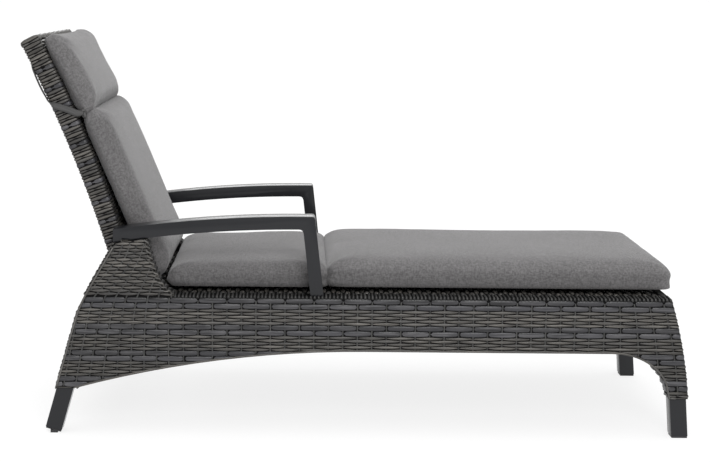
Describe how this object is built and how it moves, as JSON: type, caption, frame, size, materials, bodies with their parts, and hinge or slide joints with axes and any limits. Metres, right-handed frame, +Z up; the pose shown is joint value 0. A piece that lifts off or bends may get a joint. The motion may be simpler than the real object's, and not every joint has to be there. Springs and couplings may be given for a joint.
{
  "type": "reclining sun lounger",
  "caption": "Woven sun lounger on an aluminium frame with fixed armrests, a reclining backrest and a padded mattress with a head cushion.",
  "frame": {"origin": "middle of the footprint box on the floor", "axes": "+X towards the foot end, +Y towards the left armrest seen from the seat, +Z up"},
  "size_m": [1.6326, 0.67, 0.9686],
  "materials": {
    "weave": "woven synthetic rattan, mixed grey and brown strands",
    "frame_metal": "satin anthracite powder coat",
    "hardware": "zinc plated",
    "glide": "black moulded plastic",
    "cushion": "mid grey melange outdoor fabric"
  },
  "bodies": {
    "base": {"arch_bar_left": "frame_metal", "arch_bar_right": "frame_metal", "armrest_left": "frame_metal", "armrest_right": "frame_metal", "cross_rail_1": "frame_metal", "cross_rail_2": "frame_metal", "cross_rail_3": "frame_metal", "foot_rail": "frame_metal", "front_glide_left": "glide", "front_glide_right": "glide", "front_leg_left": "frame_metal", "front_leg_right": "frame_metal", "hinge_bush_left": "glide", "hinge_bush_right": "glide", "hinge_pin_left": "hardware", "hinge_pin_right": "hardware", "leg_cushion": "cushion", "rear_glide_left": "glide", "rear_glide_right": "glide", "rear_leg_left": "frame_metal", "rear_leg_right": "frame_metal", "rear_rail": "frame_metal", "recline_plate_left": "hardware", "recline_plate_right": "hardware", "seat_cushion": "cushion", "shoulder_post_left": "frame_metal", "shoulder_post_right": "frame_metal", "side_rail_left": "frame_metal", "side_rail_right": "frame_metal", "woven_deck": "weave", "woven_foot_panel": "weave", "woven_rear_panel": "weave", "woven_side_left": "weave", "woven_side_right": "weave"},
    "backrest": {"back_bottom_rail": "frame_metal", "back_cushion": "cushion", "back_middle_rail": "frame_metal", "back_prop_rail": "frame_metal", "back_stile_left": "frame_metal", "back_stile_right": "frame_metal", "back_top_rail": "frame_metal", "head_cushion": "cushion", "head_strap": "cushion", "prop_lug_left": "hardware", "prop_lug_right": "hardware", "woven_back": "weave"},
    "prop": {"prop_arm_left": "hardware", "prop_arm_right": "hardware", "prop_foot_bar": "hardware", "prop_pin_left": "hardware", "prop_pin_right": "hardware"}
  },
  "joints": [
    {"name": "recline", "type": "hinge", "parent": "base", "child": "backrest", "pos_m": [-0.5556, 0, 0.325], "axis": [0, -1, 0], "range_deg": [0, 69]},
    {"name": "prop_swing", "type": "hinge", "parent": "backrest", "child": "prop", "pos_m": [-0.6167, 0, 0.40597], "axis": [0, -1, 0], "range_deg": [-72.1, 0]}
  ],
  "couplings": [
    {"joint": "prop_swing", "follows": "recline", "ratio": -1.0435}
  ]
}
